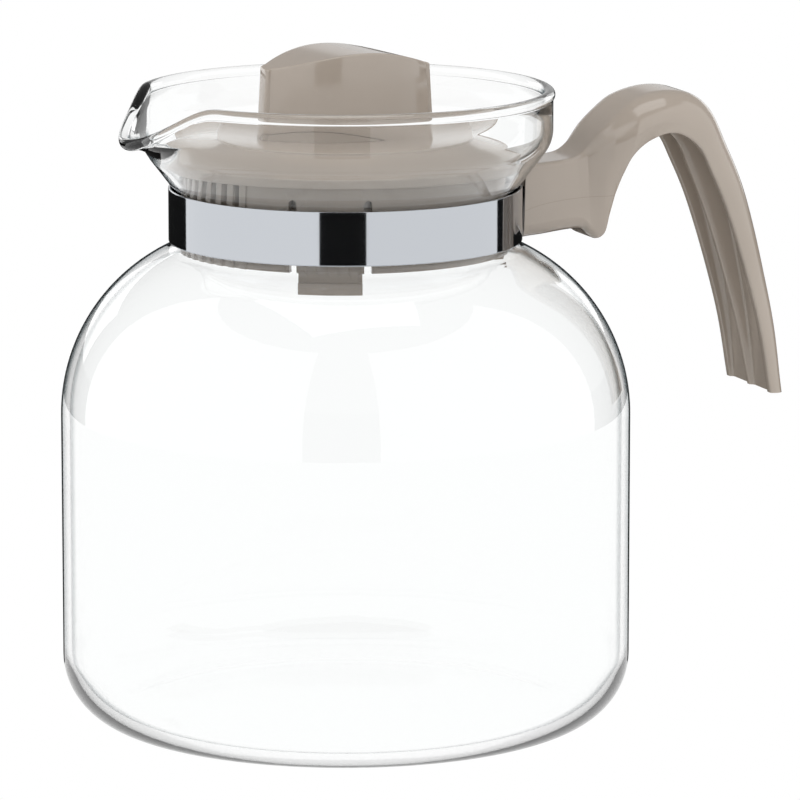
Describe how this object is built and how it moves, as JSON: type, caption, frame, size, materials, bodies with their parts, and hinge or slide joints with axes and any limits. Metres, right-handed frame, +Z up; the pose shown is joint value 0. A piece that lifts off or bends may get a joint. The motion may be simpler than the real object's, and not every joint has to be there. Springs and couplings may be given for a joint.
{
  "type": "glass coffee jug",
  "caption": "Round glass coffee jug with a pouring lip, a steel neck clamp, a curved plastic handle and a lift-off strainer lid with a knob.",
  "frame": {"origin": "centre of the jug's flat base, on the jug's axis", "axes": "+Z up along the jug's axis, +X towards the handle, -X towards the pouring lip"},
  "size_m": [0.195, 0.15, 0.1785],
  "materials": {
    "clear_glass": "clear, fire polished",
    "polished_steel": "mirror polished",
    "plated_steel": "plated, satin",
    "taupe_plastic": "moulded, glossy"
  },
  "bodies": {
    "jug": {"glass_jug": "clear_glass", "clamp_band": "polished_steel", "clamp_nut": "plated_steel", "clamp_screw": "plated_steel", "clamp_washer": "plated_steel", "handle": "taupe_plastic"},
    "strainer": {"strainer_skirt": "taupe_plastic"},
    "lid": {"lid_cover": "taupe_plastic", "lid_knob": "taupe_plastic"}
  },
  "joints": [
    {"name": "lid_lift", "type": "slide", "parent": "jug", "child": "strainer", "axis": [0, 0, 1], "range_m": [0, 0.08]},
    {"name": "lid_turn", "type": "hinge", "parent": "strainer", "child": "lid", "pos_m": [0, 0, 0.145], "axis": [0, 0, 1], "continuous": true}
  ]
}
